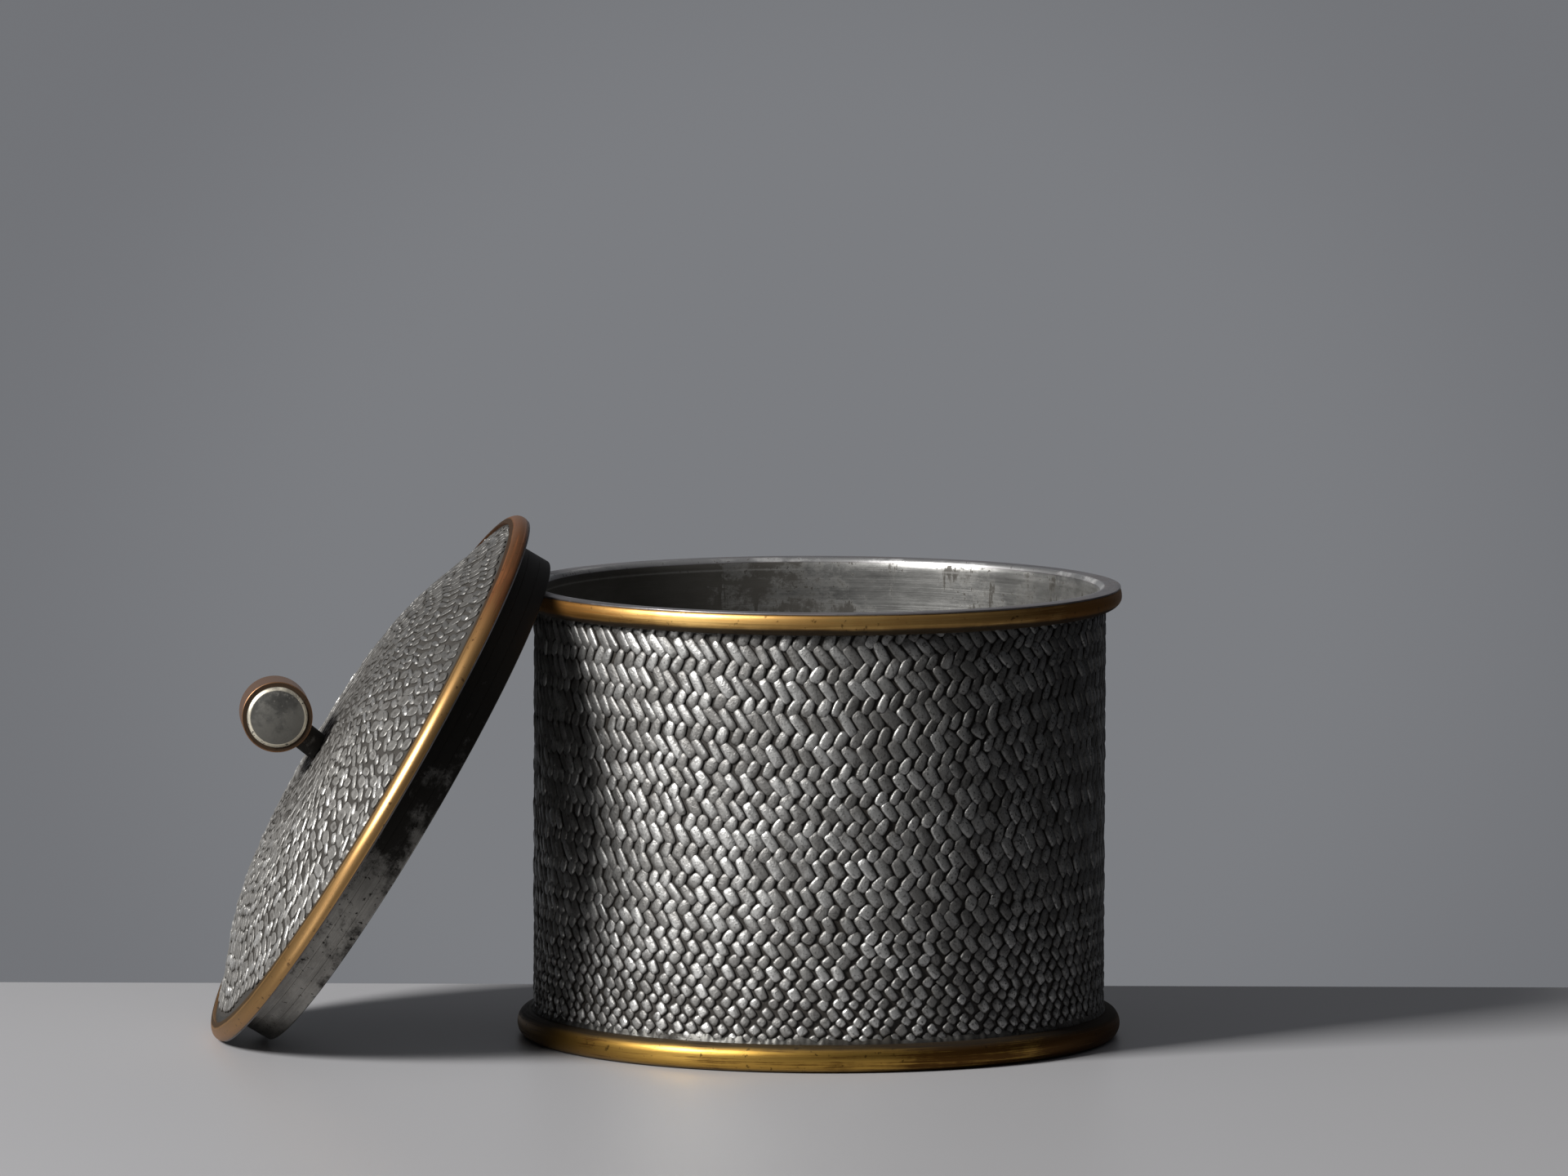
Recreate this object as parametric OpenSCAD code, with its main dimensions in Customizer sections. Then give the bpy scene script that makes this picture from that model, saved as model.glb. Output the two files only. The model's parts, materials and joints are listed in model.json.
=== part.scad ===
// Round pewter box with brass mouldings, and its lifted lid leaning against it.
// Millimetres. +Z is up, and the origin is the centre of the box's underside.
// The lid lies towards -X, tipped over about a line parallel to Y.

/* [Box] */
// Outer radius of the wall, at the mean height of its relief
wall_r = 56.5; // [52:0.5:64]
// Thickness of the wall
wall_t = 1.2; // [0.8:0.1:2.4]
// Height from the table to the mouth
box_h = 90; // [80:1:130]
// Thickness of the plate that closes the bottom
base_t = 1.6; // [1:0.1:3]

/* [Woven wall] */
// Height of the lowest row of woven strips, above the foot moulding
row_low = 1.8; // [1.6:0.1:2.6]
// Height of the highest row of woven strips, under the mouth
row_high = 3.5; // [2.8:0.1:5]
// How far the rows stand out of the grooves between them
relief = 0.6; // [0.2:0.05:0.8]

/* [Mouth] */
// Thickness of the flat ring round the mouth
lip_t = 0.9; // [0.7:0.1:1.4]
// Bevel on the inner edge of the flat ring
lip_bevel = 0.5; // [0.2:0.1:0.6]
// Height of the brass moulding under the flat ring
rim_band_h = 4.5; // [3.5:0.1:7]
// How far the brass mouldings of mouth and lid stand out from the wall
rim_out = 3.5; // [2.5:0.1:5]

/* [Foot] */
// Height of the brass foot moulding
foot_h = 5.4; // [4:0.1:8]
// How far the foot moulding stands out from the wall
foot_out = 3.5; // [2.5:0.1:5]
// Roundness of the foot moulding: how far its face bulges past its edges
foot_bulge = 2.2; // [1:0.1:2.4]

/* [Lid] */
// Height of the brass moulding above the lid's seat
lid_band_h = 3.3; // [2.6:0.1:5]
// Thickness of the dome
dome_t = 1.2; // [0.8:0.1:1.6]
// Slope of the dome where it leaves the moulding, in degrees
edge_slope = 12; // [6:1:16]
// Steepest slope of the dome, in degrees
side_slope = 21.5; // [18:0.5:26]
// Slope at which the shoulder passes into the crown, in degrees
crown_slope = 4; // [2:0.5:8]
// Radius of the hollow curve next to the moulding
flare_r = 50; // [30:1:60]
// Length of the straight slope between the hollow curve and the shoulder
slope_l = 7.3; // [4:0.1:9]
// Radius of the rounded shoulder
shoulder_r = 62; // [40:1:66]
// Depth of the skirt that plugs into the mouth
skirt_d = 7.8; // [5:0.1:12]
// Thickness of the skirt
skirt_t = 1; // [0.8:0.1:2]
// Clearance between the skirt and the box's wall
skirt_fit = 0.45; // [0.2:0.05:0.8]

/* [Knob] */
// Diameter of the brass bar
bar_d = 14; // [10:0.5:18]
// Length of the brass bar
bar_l = 12.4; // [9:0.1:24]
// Wall of the tube that the bar is made of
bar_t = 0.9; // [0.6:0.1:1.5]
// How far each pewter cap stands out of its end of the tube
cap_proud = 0.6; // [0.3:0.1:1]
// Width of the bevel round each cap
cap_bevel = 0.8; // [0.4:0.1:1.2]
// How deep each cap's spigot goes into the tube
cap_in = 2; // [1:0.1:3]
// Diameter of the stem
stem_d = 5.4; // [4:0.1:7]
// Height of the bar's axis above the crown of the dome
stem_h = 10.8; // [10:0.1:16]
// How far the stem stands out of true, towards the upper edge of the leaning lid, in degrees
knob_lean = 8; // [0:1:10]

/* [Leaning lid] */
// Angle between the lid's axis and the vertical, in degrees
lid_tilt = 59.3; // [50:0.1:70]
// Gap where the lid leans on the mouth of the box
lean_gap = 0.3; // [0.1:0.05:0.5]

/* [Hidden] */
$fn = 180;
pewter = [0.30, 0.30, 0.29];
worn_pewter = [0.46, 0.46, 0.45];
brass = [0.66, 0.49, 0.24];
aged_brass = [0.58, 0.36, 0.20];

bore_r = wall_r - wall_t;        // inside of the box
rim_r = wall_r + rim_out;        // over the mouldings of mouth and lid
foot_r = wall_r + foot_out;      // over the foot
skirt_r = bore_r - skirt_fit;
crest_r = wall_r + relief / 2;   // over the rows of the weave
groove_r = wall_r - relief / 2;
seam = 0.05;                     // gap where one piece is soldered round another
show_edge = 0.25;                // edge of the flat rings that shows past the brass
edge_in = 0.25;                  // how far that edge stays inside the brass
lip_r = rim_r - edge_in;
undercut = lip_t - show_edge;    // bevel under that edge, so that the brass covers it
arc_n = 16;                      // steps along each rounded stretch of a profile

// Points on a quarter or half ellipse about [r, z], with semi-axes a and b, from angle f to t
function arc(r, z, a, b, f, t) =
    [for (i = [0:arc_n]) let (g = f + (t - f) * i / arc_n) [r + a * cos(g), z + b * sin(g)]];

// ---- Rows of the weave, which grow higher from the foot to the mouth at a steady rate ----
crest_share = 0.4;               // share of a row's height that its crest takes
weave_low = foot_h;
weave_high = box_h - rim_band_h;
rows = round((weave_high - weave_low) * ln(row_high / row_low) / (row_high - row_low));
growth = pow(row_high / row_low, 1 / rows);
function row_z(i) = weave_low
    + (weave_high - weave_low) * (pow(growth, i) - 1) / (pow(growth, rows) - 1);
row_pts = [for (i = [0:rows - 1]) let (
        z = row_z(i), h = row_z(i + 1) - z, slope_h = h * (1 - crest_share) / 2)
    each [[i == 0 ? wall_r : groove_r, z], [crest_r, z + slope_h],
          [crest_r, z + h - slope_h]]];

// ---- Profile of the mouldings, as [radius, height above the flat ring's seat] ----
// The rounded brass runs from the ring's edge out to rim_r and in again to its far edge.
// The box's moulding is this profile turned over, and the lid's is this profile as it is.
function moulding(h, inner) = let (belly = show_edge + 0.25 * h) concat(
    [[inner, h], [inner, lip_t + seam], [lip_r - undercut, lip_t + seam],
     [lip_r, show_edge + seam]],
    arc(rim_r - edge_in, belly, edge_in, belly - show_edge - seam, -90, 0),
    arc(inner, belly, rim_r - inner, h - belly, 0, 90));

// ---- Profile of the dome, from its edge at the moulding in to the crown ----
dome_edge_r = rim_r - 2.8;
dome_edge_z = lid_band_h - 0.3;
flare_end_r = dome_edge_r - flare_r * (sin(side_slope) - sin(edge_slope));
flare_end_z = dome_edge_z + flare_r * (cos(edge_slope) - cos(side_slope));
shoulder_start_r = flare_end_r - slope_l * cos(side_slope);
shoulder_start_z = flare_end_z + slope_l * sin(side_slope);
crown_edge_r = shoulder_start_r - shoulder_r * (sin(side_slope) - sin(crown_slope));
crown_edge_z = shoulder_start_z + shoulder_r * (cos(crown_slope) - cos(side_slope));
crown_r = crown_edge_r / sin(crown_slope);       // radius of the crown's own curve
crown_z = crown_edge_z + crown_r * (1 - cos(crown_slope));

flare_pts = arc(dome_edge_r + flare_r * sin(edge_slope), dome_edge_z + flare_r * cos(edge_slope),
                flare_r, flare_r, 270 - edge_slope, 270 - side_slope);
shoulder_pts = arc(crown_edge_r - shoulder_r * sin(crown_slope),
                   crown_edge_z - shoulder_r * cos(crown_slope),
                   shoulder_r, shoulder_r, 90 - side_slope, 90 - crown_slope);
crown_pts = arc(0, crown_z - crown_r, crown_r, crown_r, 90 - crown_slope, 90);
dome_pts = concat(flare_pts, shoulder_pts, crown_pts);
foot_w = 1.2;                    // width of the dome's edge, where it stands on the seat ring

// ---- Where the lifted lid comes to rest ----
lid_profile = moulding(lid_band_h, dome_edge_r + seam);
lean_z = max([for (p = concat(lid_profile, [[lip_r, 0]]))
    p[0] * sin(lid_tilt) - p[1] * cos(lid_tilt)]);
// Distance of the lid's seat from the box's axis at which a circle of radius r at height z on
// the lid just clears the box. Only the part of the circle below the mouth can touch it.
function clear_of_box(r, z) = max([for (a = [0:0.1:180]) let (
        up = r * cos(a), side = r * sin(a),
        at_z = lean_z + up * sin(lid_tilt) + z * cos(lid_tilt),
        box_r = (at_z > weave_high ? rim_r : crest_r) + lean_gap)
    at_z <= box_h && side < box_r
        ? up * cos(lid_tilt) - z * sin(lid_tilt) + sqrt(box_r * box_r - side * side) : 0]);
lean_x = max(clear_of_box(skirt_r, -skirt_d), clear_of_box(skirt_r - skirt_t, -skirt_d),
             clear_of_box(rim_r, 0));

module leaning() {
    translate([-lean_x, 0, lean_z]) rotate([0, -lid_tilt, 0]) children();
}

// ---- Box ----
// A plain bore, and outside a raised ring for each row of the weave
module body_wall() {
    color(pewter) rotate_extrude() polygon(concat(
        [[bore_r, base_t], [wall_r, base_t]], row_pts,
        [[wall_r, weave_high], [wall_r, box_h - lip_t], [bore_r, box_h - lip_t]]));
}

module base_plate() {
    color(pewter) cylinder(r = wall_r, h = base_t);
}

// Section of a flat ring lying on z = 0, bevelled inside and undercut outside
module flat_ring(inner, bevel) {
    rotate_extrude() polygon([
        [inner, lip_t], [inner, bevel], [inner + bevel, 0],
        [lip_r, 0], [lip_r, show_edge], [lip_r - undercut, lip_t]]);
}

module mouth_ring() {
    color(worn_pewter) translate([0, 0, box_h]) mirror([0, 0, 1]) flat_ring(bore_r, lip_bevel);
}

module rim_band() {
    color(brass) translate([0, 0, box_h]) mirror([0, 0, 1])
        rotate_extrude() polygon(moulding(rim_band_h, wall_r + seam));
}

module foot_band() {
    face_r = foot_r - foot_bulge;
    color(brass) rotate_extrude() polygon(concat(
        [[wall_r + seam, 0]], arc(face_r, foot_h / 2, foot_bulge, foot_h / 2, -90, 90),
        [[wall_r + seam, foot_h]]));
}

// ---- Lid ----
module lid_dome() {
    n = len(dome_pts);
    inside = [for (i = [n - 1:-1:0]) if (dome_pts[i][0] <= dome_edge_r - foot_w)
        [dome_pts[i][0], dome_pts[i][1] - dome_t]];
    color(pewter) leaning() rotate_extrude() polygon(concat(
        dome_pts, inside, [[dome_edge_r - foot_w, lip_t], [dome_edge_r, lip_t]]));
}

module lid_seat_ring() {
    color(worn_pewter) leaning() flat_ring(skirt_r - skirt_t, 0);
}

module lid_rim_band() {
    color(aged_brass) leaning() rotate_extrude() polygon(lid_profile);
}

module lid_skirt() {
    color(worn_pewter) leaning() translate([0, 0, -skirt_d]) rotate_extrude()
        translate([skirt_r - skirt_t, 0]) square([skirt_t, skirt_d]);
}

// ---- Knob: a tube across the top of a short stem, closed with two bevelled caps ----
// Places its children with z along the stem and the bar's axis along y, through the origin
module knob_place() {
    leaning() translate([0, 0, crown_z]) rotate([0, knob_lean, 0])
        translate([0, 0, stem_h]) children();
}

// The stem's top is coped to a saddle that fits the tube, and its foot is cut level with the crown
module knob_stem() {
    color(pewter) difference() {
        leaning() intersection() {
            translate([0, 0, crown_z]) rotate([0, knob_lean, 0])
                translate([0, 0, -stem_d]) cylinder(d = stem_d, h = stem_h + stem_d);
            translate([-bar_d, -bar_d, crown_z]) cube([2 * bar_d, 2 * bar_d, stem_h + bar_d]);
        }
        knob_place() rotate([90, 0, 0])
            cylinder(d = bar_d + 2 * seam, h = 2 * bar_l, center = true);
    }
}

module knob_bar() {
    color(aged_brass) knob_place() rotate([90, 0, 0]) difference() {
        cylinder(d = bar_d, h = bar_l, center = true);
        cylinder(d = bar_d - 2 * bar_t, h = 2 * bar_l, center = true);
    }
}

// One cap on +z: a spigot in the tube and a bevelled face that stands out of it
module cap() {
    cap_r = bar_d / 2 - bar_t - seam;
    translate([0, 0, bar_l / 2 - cap_in]) cylinder(r = cap_r, h = cap_in);
    translate([0, 0, bar_l / 2])
        cylinder(r1 = cap_r, r2 = cap_r - cap_bevel, h = cap_proud);
}

module knob_cap_front() {
    color(worn_pewter) knob_place() rotate([90, 0, 0]) cap();
}

module knob_cap_back() {
    color(worn_pewter) knob_place() rotate([-90, 0, 0]) cap();
}

body_wall();
base_plate();
mouth_ring();
rim_band();
foot_band();
lid_dome();
lid_seat_ring();
lid_rim_band();
lid_skirt();
knob_stem();
knob_bar();
knob_cap_front();
knob_cap_back();
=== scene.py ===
"""Looks of a round lidded pewter box with brass mouldings, built round its CAD frame.

Metres, in the part's own frame: the origin is the centre of the box's underside, +Z is up,
and the lid leans against the box on its -X side.
"""

import bpy
import numpy as np
from mathutils import Matrix, Vector
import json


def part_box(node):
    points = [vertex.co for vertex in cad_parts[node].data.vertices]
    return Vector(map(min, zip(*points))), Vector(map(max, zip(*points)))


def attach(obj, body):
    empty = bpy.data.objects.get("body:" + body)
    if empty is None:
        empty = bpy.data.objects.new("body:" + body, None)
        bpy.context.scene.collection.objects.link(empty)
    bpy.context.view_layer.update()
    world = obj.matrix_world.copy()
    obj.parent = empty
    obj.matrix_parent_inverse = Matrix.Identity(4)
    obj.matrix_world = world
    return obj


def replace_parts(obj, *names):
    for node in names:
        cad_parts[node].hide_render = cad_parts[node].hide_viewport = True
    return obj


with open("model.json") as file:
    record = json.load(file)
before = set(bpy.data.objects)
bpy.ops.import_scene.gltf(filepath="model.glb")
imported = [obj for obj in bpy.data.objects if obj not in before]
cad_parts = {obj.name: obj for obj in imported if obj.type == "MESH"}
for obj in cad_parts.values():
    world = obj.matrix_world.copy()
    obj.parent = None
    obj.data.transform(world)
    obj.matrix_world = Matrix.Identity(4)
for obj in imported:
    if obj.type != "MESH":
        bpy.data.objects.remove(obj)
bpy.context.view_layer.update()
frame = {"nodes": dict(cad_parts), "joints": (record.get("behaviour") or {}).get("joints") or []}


# ---- The wall of the box ----
# A cylinder of cast pewter with a plain bore. Its outside is a relief of woven strips: rows of
# long bars that slant one way, and between them rows of short beads that slant the other way.
# The strips are worn to a dull shine, and the hollows between them keep a near-black patina.

wall_low, wall_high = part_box("body_wall")
mouth_low, mouth_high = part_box("mouth_ring")
relief = 0.0006                          # from the hollows to the tops of the strips
wall_r = wall_high.y - relief / 2
hollow_r = wall_r - relief / 2
covered_r = wall_r - 0.0001              # behind the two mouldings
bore_r = wall_r - 0.0012
wall_top = wall_high.z
wall_foot = wall_low.z
weave_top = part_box("rim_band")[0].z
weave_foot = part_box("foot_band")[1].z
chamfer = 0.0002                         # where the wall goes in from behind a moulding


class Shade:
    """A socket in a material's nodes. Arithmetic on it adds a Math node to the same tree."""

    def __init__(self, socket):
        self.socket = socket

    def node(self, kind, settings, inputs, output=0):
        """Adds a node of that kind, makes its settings first, and then fills its inputs."""
        tree = self.socket.id_data
        made = tree.nodes.new(kind)
        for name, value in settings.items():
            setattr(made, name, value)
        for name, value in inputs.items():
            if isinstance(value, Shade):
                tree.links.new(value.socket, made.inputs[name])
            else:
                made.inputs[name].default_value = value
        return Shade(made.outputs[output])

    def math(self, operation, first, second):
        """The sum, difference or product of two values."""
        return self.node("ShaderNodeMath", {"operation": operation}, {0: first, 1: second})

    def __add__(self, other):
        return self.math("ADD", self, other)

    def __radd__(self, other):
        return self.math("ADD", other, self)

    def __sub__(self, other):
        return self.math("SUBTRACT", self, other)

    def __rsub__(self, other):
        return self.math("SUBTRACT", other, self)

    def __mul__(self, other):
        return self.math("MULTIPLY", self, other)

    def __rmul__(self, other):
        return self.math("MULTIPLY", other, self)

    def over(self, low, high):
        """0 below low, 1 above high, and a smooth step from one to the other between them."""
        settings = {"interpolation_type": "SMOOTHSTEP"}
        return self.node("ShaderNodeMapRange", settings, {0: self, 1: low, 2: high})

    def between(self, low, high):
        """The colour low where this value is 0, high where it is 1, and their mix between."""
        low, high = [c if isinstance(c, Shade) else (*c, 1) for c in (low, high)]
        settings = {"data_type": "RGBA"}
        return self.node("ShaderNodeMix", settings, {0: self, 6: low, 7: high}, output=2)

    def grains(self, scale, detail=3.0, roughness=0.6):
        """Noise from 0 to 1 at this place, with that many blotches to the metre."""
        return self.node("ShaderNodeTexNoise", {},
                         {"Vector": self, "Scale": scale, "Detail": detail,
                          "Roughness": roughness})

    def stretched(self, x, y, z):
        """This place, stretched or squeezed along each axis."""
        return self.node("ShaderNodeVectorMath", {"operation": "MULTIPLY"},
                         {0: self, 1: (x, y, z)})

    def distance(self, point=(0, 0, 0)):
        """How far this place lies from a point."""
        return self.node("ShaderNodeVectorMath", {"operation": "DISTANCE"},
                         {0: self, 1: point}, output=1)

    def axis(self, number):
        """This place's x, y or z."""
        return self.node("ShaderNodeSeparateXYZ", {}, {"Vector": self}, output=number)

    def bumps(self, strength, depth):
        """A normal that follows this value as a height, in metres where it is 1."""
        return self.node("ShaderNodeBump", {},
                         {"Height": self, "Strength": strength, "Distance": depth})


def new_metal(name):
    """A material with one Principled shader. Returns it, the shader, and the object's place."""
    metal = bpy.data.materials.new(name)
    metal.use_nodes = True
    shader = metal.node_tree.nodes["Principled BSDF"]
    where = metal.node_tree.nodes.new("ShaderNodeTexCoord")
    return metal, shader, Shade(where.outputs["Object"])


def dress(shader, **looks):
    """Sets the shader's inputs, named with _ for a space, to values or to shades."""
    for name, look in looks.items():
        socket = shader.inputs[name.replace("_", " ")]
        if isinstance(look, Shade):
            socket.id_data.links.new(look.socket, socket)
        else:
            socket.default_value = look


def attribute(place, name, output="Fac"):
    """The value that the mesh carries under that name, or its vector."""
    return place.node("ShaderNodeAttribute", {"attribute_name": name}, {}, output=output)


def woven_pewter(name, light, dark, wear, way, shaded_from, shaded_to, painted_shade, rough):
    """Cast pewter with a woven relief: worn tops, near-black hollows, blotches and pits.

    wear is the colour of the tops. A painted shade darkens it along the axis way, from one
    place to another.
    """
    metal, shader, place = new_metal(name)
    height = attribute(place, "relief")
    tone = attribute(place, "tone")
    clouds = place.grains(60.0, 3.0)
    blotches = place.grains(420.0, 4.0)
    pits = place.grains(2000.0, 4.0)
    bare = (height + (blotches - 0.5) * 0.4 + tone * 0.03).over(0.22, 0.80)
    worn = (height + tone * 0.12 + (blotches - 0.5) * 0.7 + (clouds - 0.5) * 0.5).over(0.75, 1.15)
    surface = worn.between(light, wear)
    # Pits dull it, and a painted shade darkens it along the axis way
    pits_and_shade = pits.over(0.52, 0.66) * 0.6 + place.axis(way).over(shaded_from, shaded_to) * painted_shade
    surface = pits_and_shade.between(surface, [0.35 * c for c in light])
    dress(shader, Base_Color=bare.between(dark, surface), Metallic=bare * 0.8,
          Roughness=rough - bare * 0.10 + pits * 0.14 - worn * 0.08,
          Normal=(pits * 0.9 + blotches * 1.6).bumps(0.45, 0.00025))
    return metal


def stained_pewter_with_painted_light(name, light, stain, amount, rubbed_highlight_from=1.0, rubbed_highlight_to=2.0,
                   rubbed_highlight_colour=(0.86, 0.80, 0.66), fade=0.0001, way=0, shaded_from=1.0, shaded_to=2.0,
                   shade_amount=0.16, drips=0.0, rough=0.30):
    """Plain turned pewter: dull grey with cloudy stains, dark specks and faint turned lines.

    It is rubbed bright between two lengths along its outline, with a soft edge as wide as
    fade: wear, and a painted highlight too. A painted shade darkens it along the axis way,
    from one place to another, and dark drips run down it. A length or place of a metre or
    more lies past every piece.
    """
    metal, shader, place = new_metal(name)
    turned_place = attribute(place, "turned", "Vector")
    clouds = place.grains(70.0, 8.0, 0.72)
    specks = place.grains(1100.0, 3.0).over(0.60, 0.70)
    lines = turned_place.stretched(12.0, 12.0, 5200.0).grains(1.0, 4.0)
    smears = turned_place.stretched(60.0, 60.0, 160.0).grains(1.0, 8.0, 0.72)
    # A painted shade, darker along the axis way, that goes in with the stains
    painted_shade = place.axis(way).over(shaded_from, shaded_to) * shade_amount
    runs = place.stretched(330.0, 330.0, 50.0).grains(1.0, 6.0, 0.7).over(0.54, 0.66) * drips
    stains_and_shade = (clouds * 0.55 + smears * 0.45 + specks * 0.10 + painted_shade + runs * 0.12).over(0.48, 0.59)
    stains_and_shade = stains_and_shade * amount
    bright = (lines * 0.25 + smears * 0.75).over(0.36, 0.62)
    plain = bright.between([0.55 * c for c in light], light)
    # The rubbed band is wear and a painted highlight
    along = attribute(place, "along") + (smears - 0.5) * 0.0003
    rubbed_highlight = along.over(rubbed_highlight_from, rubbed_highlight_from + fade)
    rubbed_highlight = rubbed_highlight * (1 - along.over(rubbed_highlight_to, rubbed_highlight_to + fade))
    rubbed_highlight = rubbed_highlight * (clouds * 0.6 + specks * 0.3).over(0.48, 0.36)
    stained = stains_and_shade.between(plain, stain)
    dress(shader, Base_Color=rubbed_highlight.between(stained, rubbed_highlight_colour),
          Metallic=0.9 - stains_and_shade * 0.4, Roughness=rough + lines * 0.10 + stains_and_shade * 0.25,
          Normal=(lines + smears * 3).bumps(0.15, 0.00010))
    return metal


def new_piece(name, points, faces, layers, metal, body, replaced, corner=None):
    """A smooth-shaded piece, whose mesh carries layers of values for its material.

    A layer has one number or one vector for each point. Edges that turn by more than corner,
    in degrees, stay crisp.
    """
    mesh = bpy.data.meshes.new(name)
    mesh.from_pydata(points.tolist(), [], faces)
    for key, values in layers.items():
        kind, field = ("FLOAT", "value") if values.ndim == 1 else ("FLOAT_VECTOR", "vector")
        layer = mesh.attributes.new(key, kind, "POINT")
        layer.data.foreach_set(field, values.astype(np.float32).ravel())
    mesh.polygons.foreach_set("use_smooth", np.ones(len(mesh.polygons), bool))
    if corner is not None:
        mesh.set_sharp_from_angle(angle=np.radians(corner))
    mesh.materials.append(metal)
    piece = bpy.data.objects.new(name, mesh)
    bpy.context.scene.collection.objects.link(piece)
    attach(piece, body)
    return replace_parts(piece, replaced)


def turned(name, outline, body, metal, replaced, place=None, segments=360, stray=0):
    """A solid of revolution from an outline of [radius, height] points, with crisp corners.

    An outline whose ends lie on the axis is closed there by a fan, and any other is closed to
    a ring. Each point carries its x and y before the piece is leant, and how far along the
    outline it lies, for lines that run round the piece. stray moves the points of an uneven
    piece by [radius, height], for each segment and each point of the outline off the axis.
    """
    outline = np.array(outline, float)
    pole = outline[0, 0] < 1e-9
    ring = outline[1:-1] if pole else outline
    along = np.concatenate([[0], np.cumsum(np.hypot(*np.diff(ring, axis=0).T))])
    turn = np.arange(segments)[:, None] * 2 * np.pi / segments
    r, h = np.moveaxis(ring + np.zeros((segments, 1, 1)) + stray, -1, 0)
    x, y = r * np.cos(turn), r * np.sin(turn)
    points = np.stack([x, y, h], -1).reshape(-1, 3)
    lines = np.stack([x, y, np.broadcast_to(along, x.shape)], -1).reshape(-1, 3)
    n = len(ring)
    index = np.arange(segments * n).reshape(segments, n)
    after = np.roll(index, -1, 0)
    quads = np.stack([index, np.roll(index, -1, 1), np.roll(after, -1, 1), after], -1)
    faces = quads[:, :n - 1 if pole else n].reshape(-1, 4).tolist()
    if pole:
        start, end = len(points), len(points) + 1
        points = np.vstack([points, [[0, 0, outline[0, 1]], [0, 0, outline[-1, 1]]]])
        lines = np.vstack([lines, [[0, 0, 0], [0, 0, along[-1]]]])
        fan = np.stack([0 * index[:, 0] + start, index[:, 0], after[:, 0]], -1)
        far_fan = np.stack([0 * index[:, 0] + end, after[:, -1], index[:, -1]], -1)
        faces += fan.tolist() + far_fan.tolist()
    # The signed area tells which way round the outline was given
    r, h = outline.T
    if np.sum(r * np.roll(h, -1) - np.roll(r, -1) * h) > 0:
        faces = [face[::-1] for face in faces]
    if place is not None:
        points = points @ np.array(place.to_3x3()).T + np.array(place.translation)
    return new_piece(name, points, faces, {"turned": lines, "along": lines[:, 2]}, metal, body,
                     replaced, corner=38)


def of_faces(piece, key):
    """The piece's faces by their center or normal, one row for each."""
    rows = np.zeros(3 * len(piece.data.polygons))
    piece.data.polygons.foreach_get(key, rows)
    return rows.reshape(-1, 3)


def quarter(r, z, a, b, start, end, steps=10):
    """Points on an ellipse about [r, z] with half axes a and b, from one angle to another."""
    t = np.radians(np.linspace(start, end, steps))
    return [[r + a * np.cos(g), z + b * np.sin(g)] for g in t]


def length_of(outline):
    """The length along an outline, straight from point to point."""
    return np.hypot(*np.diff(np.array(outline), axis=0).T).sum()


# The weave is painted darker towards +X, a painted shade on its side away from the lamp
woven = woven_pewter("woven_pewter", light=(0.27, 0.265, 0.256), dark=(0.024, 0.020, 0.016),
                     wear=(0.64, 0.64, 0.63), way=0, shaded_from=-0.01, shaded_to=0.045,
                     painted_shade=0.56, rough=0.52)
# The bore opens in a quarter ellipse to the mouth, and the flat ring holds its upper part
flare_low = wall_top - 0.0014
flare_out = 0.0012
flare_seam = 180 - np.degrees(np.arcsin((wall_top - flare_low) / (mouth_high.z - flare_low)))
flare = (bore_r + flare_out, flare_low, flare_out, mouth_high.z - flare_low)
wall_outline = [[bore_r, wall_foot], [covered_r, wall_foot], [covered_r, weave_foot - chamfer],
                [hollow_r, weave_foot], [hollow_r, weave_top],
                [covered_r, weave_top + chamfer], [covered_r, wall_top]]
wall_outline += quarter(*flare, flare_seam, 180, 6)
# The lid's skirt has rubbed the flare and the bore right under it bright, which is also a
# painted highlight. The inside is painted darker towards -X, a painted shade.
inside = stained_pewter_with_painted_light("inside_pewter", light=(0.54, 0.54, 0.525), stain=(0.045, 0.040, 0.032),
                        amount=0.9, rubbed_highlight_from=length_of(wall_outline) - 0.0004,
                        rubbed_highlight_to=1.0, rubbed_highlight_colour=(0.62, 0.62, 0.61), fade=0.0012,
                        shaded_from=0.005, shaded_to=-0.040, shade_amount=0.26, drips=1.0)
wall = turned("wall", wall_outline, "box", woven, "body_wall")
wall.data.materials.append(inside)
# Faces nearer to the bore than to the hollows of the weave belong to the inside
is_bore = np.hypot(*of_faces(wall, "center")[:, :2].T) < (bore_r + hollow_r) / 2
wall.data.polygons.foreach_set("material_index", is_bore.astype(np.int32))


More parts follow.
